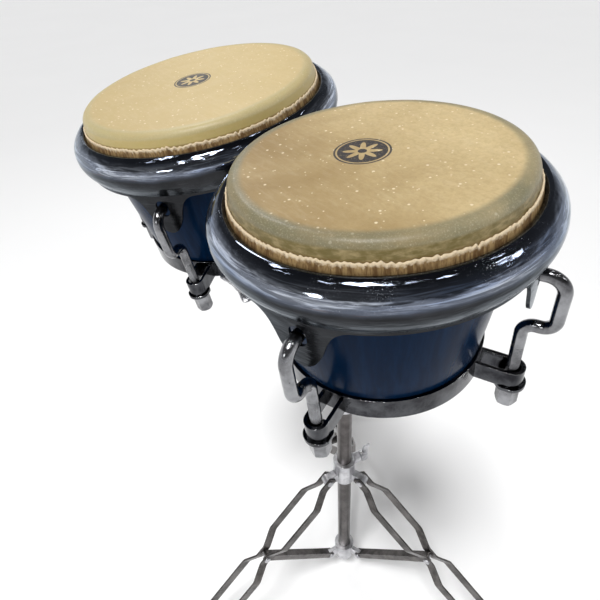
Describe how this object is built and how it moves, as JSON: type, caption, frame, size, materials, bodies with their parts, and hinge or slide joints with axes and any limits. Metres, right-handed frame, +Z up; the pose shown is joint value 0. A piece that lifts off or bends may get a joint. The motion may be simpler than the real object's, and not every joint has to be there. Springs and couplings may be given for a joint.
{
  "type": "bongo drums on stand",
  "caption": "Pair of unequal bongo drums with polished rims and hooked tuning rods, clamped by their block to a folding tripod stand.",
  "frame": {"origin": "on the floor, on the axis of the stand tube", "axes": "+Z up along the stand tube, -Y the front that the tilted skins lean towards, +X towards the small drum"},
  "size_m": [0.5344, 0.4975, 0.7915],
  "materials": {
    "shell": "high gloss dark blue lacquer over wood",
    "block": "gloss dark lacquer over wood",
    "skin": "dry rawhide, tan, faintly translucent at the edge",
    "hoop_steel": "zinc plated rod",
    "rubber": "matte black rubber",
    "foot_rubber": "matte black rubber, scuffed",
    "bushing": "black nylon",
    "bolt_steel": "zinc plated steel",
    "tube_chrome": "chrome plated tube with fine scratches",
    "leg_steel": "chrome plated strip",
    "casting": "chrome plated casting",
    "fastener": "chrome plated fastener",
    "bracket_steel": "chrome plated plate",
    "drum_chrome": "polished chrome plate with fine scuffs"
  },
  "bodies": {
    "stand": {"outer_tube": "tube_chrome", "bushing": "bushing", "height_clamp": "casting", "lower_hub": "casting", "hub_rivets": "fastener"},
    "height_wing": {"height_wing_bolt": "fastener"},
    "mast": {"mast": "tube_chrome"},
    "tilter": {"tilter_base": "casting", "tilt_bolt": "fastener"},
    "swivel_wing": {"swivel_wing_bolt": "fastener"},
    "tilt_wing": {"tilt_wing_nut": "fastener"},
    "deck": {"small_shell": "shell", "small_head": "skin", "small_flesh_hoop": "hoop_steel", "small_rim": "drum_chrome", "small_bottom_ring": "drum_chrome", "small_ring_ears": "drum_chrome", "small_hooks": "drum_chrome", "large_shell": "shell", "large_head": "skin", "large_flesh_hoop": "hoop_steel", "large_rim": "drum_chrome", "large_bottom_ring": "drum_chrome", "large_ring_ears": "drum_chrome", "large_hooks": "drum_chrome", "ear_washers": "drum_chrome", "block": "block", "block_gaskets": "rubber", "block_backing_plates": "bolt_steel", "block_tie_bolts": "bolt_steel", "block_tie_nuts": "bolt_steel", "clamp_bracket": "bracket_steel", "clamp_pads": "rubber", "tilter_head": "skin"},
    "jaw": {"clamp_jaw": "bracket_steel", "clamp_jaw_pad": "rubber"},
    "jaw_screw": {"clamp_screw": "fastener"},
    "small_nut_1": {"small_nut_1": "drum_chrome"},
    "small_nut_2": {"small_nut_2": "drum_chrome"},
    "small_nut_3": {"small_nut_3": "drum_chrome"},
    "small_nut_4": {"small_nut_4": "drum_chrome"},
    "large_nut_1": {"large_nut_1": "drum_chrome"},
    "large_nut_2": {"large_nut_2": "drum_chrome"},
    "large_nut_3": {"large_nut_3": "drum_chrome"},
    "large_nut_4": {"large_nut_4": "drum_chrome"},
    "brace_1": {"brace_1": "leg_steel"},
    "leg_1": {"leg_1_strips": "leg_steel", "leg_1_rivet": "fastener", "leg_1_foot": "foot_rubber"},
    "collar": {"leg_collar": "casting", "collar_rivets": "fastener"},
    "collar_wing": {"collar_wing_bolt": "fastener"},
    "brace_2": {"brace_2": "leg_steel"},
    "leg_2": {"leg_2_strips": "leg_steel", "leg_2_rivet": "fastener", "leg_2_foot": "foot_rubber"},
    "brace_3": {"brace_3": "leg_steel"},
    "leg_3": {"leg_3_strips": "leg_steel", "leg_3_rivet": "fastener", "leg_3_foot": "foot_rubber"}
  },
  "joints": [
    {"name": "tripod_fold", "type": "hinge", "parent": "stand", "child": "brace_1", "pos_m": [0.02485, 0.01055, 0.06286], "axis": [0.3907, -0.9205, 0], "range_deg": [-12, 42]},
    {"name": "leg_1_hinge", "type": "hinge", "parent": "brace_1", "child": "leg_1", "pos_m": [0.12262, 0.05205, 0.1702], "axis": [0.3907, -0.9205, 0], "range_deg": [-84, 24]},
    {"name": "collar_hinge", "type": "hinge", "parent": "leg_1", "child": "collar", "pos_m": [0.02485, 0.01055, 0.27753], "axis": [0.3907, -0.9205, 0], "range_deg": [-12, 42]},
    {"name": "brace_2_fold", "type": "hinge", "parent": "stand", "child": "brace_2", "pos_m": [-0.02156, 0.01625, 0.06286], "axis": [0.6018, 0.7986, 0], "range_deg": [-12, 42]},
    {"name": "leg_2_hinge", "type": "hinge", "parent": "brace_2", "child": "leg_2", "pos_m": [-0.10639, 0.08017, 0.1702], "axis": [0.6018, 0.7986, 0], "range_deg": [-84, 24]},
    {"name": "brace_3_fold", "type": "hinge", "parent": "stand", "child": "brace_3", "pos_m": [-0.00329, -0.0268, 0.06286], "axis": [-0.9925, 0.1219, 0], "range_deg": [-12, 42]},
    {"name": "leg_3_hinge", "type": "hinge", "parent": "brace_3", "child": "leg_3", "pos_m": [-0.01623, -0.13222, 0.1702], "axis": [-0.9925, 0.1219, 0], "range_deg": [-84, 24]},
    {"name": "height_wing_turn", "type": "hinge", "parent": "stand", "child": "height_wing", "pos_m": [0.00366, 0.02978, 0.43186], "axis": [0.1219, 0.9925, 0], "continuous": true},
    {"name": "collar_wing_turn", "type": "hinge", "parent": "collar", "child": "collar_wing", "pos_m": [0.00366, 0.02978, 0.29552], "axis": [0.1219, 0.9925, 0], "continuous": true},
    {"name": "mast_height", "type": "slide", "parent": "stand", "child": "mast", "axis": [0, 0, 1], "range_m": [-0.115, 0.16]},
    {"name": "swivel", "type": "hinge", "parent": "mast", "child": "tilter", "pos_m": [0, 0, 0.59], "axis": [0, 0, 1], "continuous": true},
    {"name": "swivel_wing_turn", "type": "hinge", "parent": "tilter", "child": "swivel_wing", "pos_m": [0, 0.03, 0.584], "axis": [0, 1, 0], "continuous": true},
    {"name": "tilt", "type": "hinge", "parent": "tilter", "child": "deck", "pos_m": [0, 0, 0.632], "axis": [1, 0, 0], "range_deg": [-35, 30]},
    {"name": "tilt_wing_turn", "type": "hinge", "parent": "tilter", "child": "tilt_wing", "pos_m": [0.02, 0, 0.632], "axis": [1, 0, 0], "continuous": true},
    {"name": "jaw_slide", "type": "slide", "parent": "deck", "child": "jaw", "axis": [0, -0.9962, -0.0872], "range_m": [0, 0.003]},
    {"name": "jaw_screw_turn", "type": "hinge", "parent": "jaw", "child": "jaw_screw", "pos_m": [0, -0.10405, 0.651], "axis": [0, -0.9962, -0.0872], "range_deg": [0, 864]},
    {"name": "small_nut_1_turn", "type": "hinge", "parent": "deck", "child": "small_nut_1", "pos_m": [0.19123, -0.01603, 0.62859], "axis": [0, -0.0872, 0.9962], "continuous": true},
    {"name": "small_nut_2_turn", "type": "hinge", "parent": "deck", "child": "small_nut_2", "pos_m": [0.07007, 0.03347, 0.63292], "axis": [0, -0.0872, 0.9962], "continuous": true},
    {"name": "small_nut_3_turn", "type": "hinge", "parent": "deck", "child": "small_nut_3", "pos_m": [0.02038, -0.08723, 0.62236], "axis": [0, -0.0872, 0.9962], "continuous": true},
    {"name": "small_nut_4_turn", "type": "hinge", "parent": "deck", "child": "small_nut_4", "pos_m": [0.14154, -0.13673, 0.61803], "axis": [0, -0.0872, 0.9962], "continuous": true},
    {"name": "large_nut_1_turn", "type": "hinge", "parent": "deck", "child": "large_nut_1", "pos_m": [-0.03873, 0.02527, 0.63407], "axis": [0, -0.1392, 0.9903], "continuous": true},
    {"name": "large_nut_2_turn", "type": "hinge", "parent": "deck", "child": "large_nut_2", "pos_m": [-0.19243, 0.03859, 0.63594], "axis": [0, -0.1392, 0.9903], "continuous": true},
    {"name": "large_nut_3_turn", "type": "hinge", "parent": "deck", "child": "large_nut_3", "pos_m": [-0.20588, -0.11362, 0.61455], "axis": [0, -0.1392, 0.9903], "continuous": true},
    {"name": "large_nut_4_turn", "type": "hinge", "parent": "deck", "child": "large_nut_4", "pos_m": [-0.05217, -0.12693, 0.61268], "axis": [0, -0.1392, 0.9903], "continuous": true}
  ],
  "couplings": [
    {"joint": "leg_1_hinge", "follows": "tripod_fold", "ratio": -2},
    {"joint": "collar_hinge", "follows": "tripod_fold", "ratio": 1},
    {"joint": "brace_2_fold", "follows": "tripod_fold", "ratio": 1},
    {"joint": "leg_2_hinge", "follows": "tripod_fold", "ratio": -2},
    {"joint": "brace_3_fold", "follows": "tripod_fold", "ratio": 1},
    {"joint": "leg_3_hinge", "follows": "tripod_fold", "ratio": -2},
    {"joint": "jaw_screw_turn", "follows": "jaw_slide", "rad_per_m": 5026.5}
  ]
}
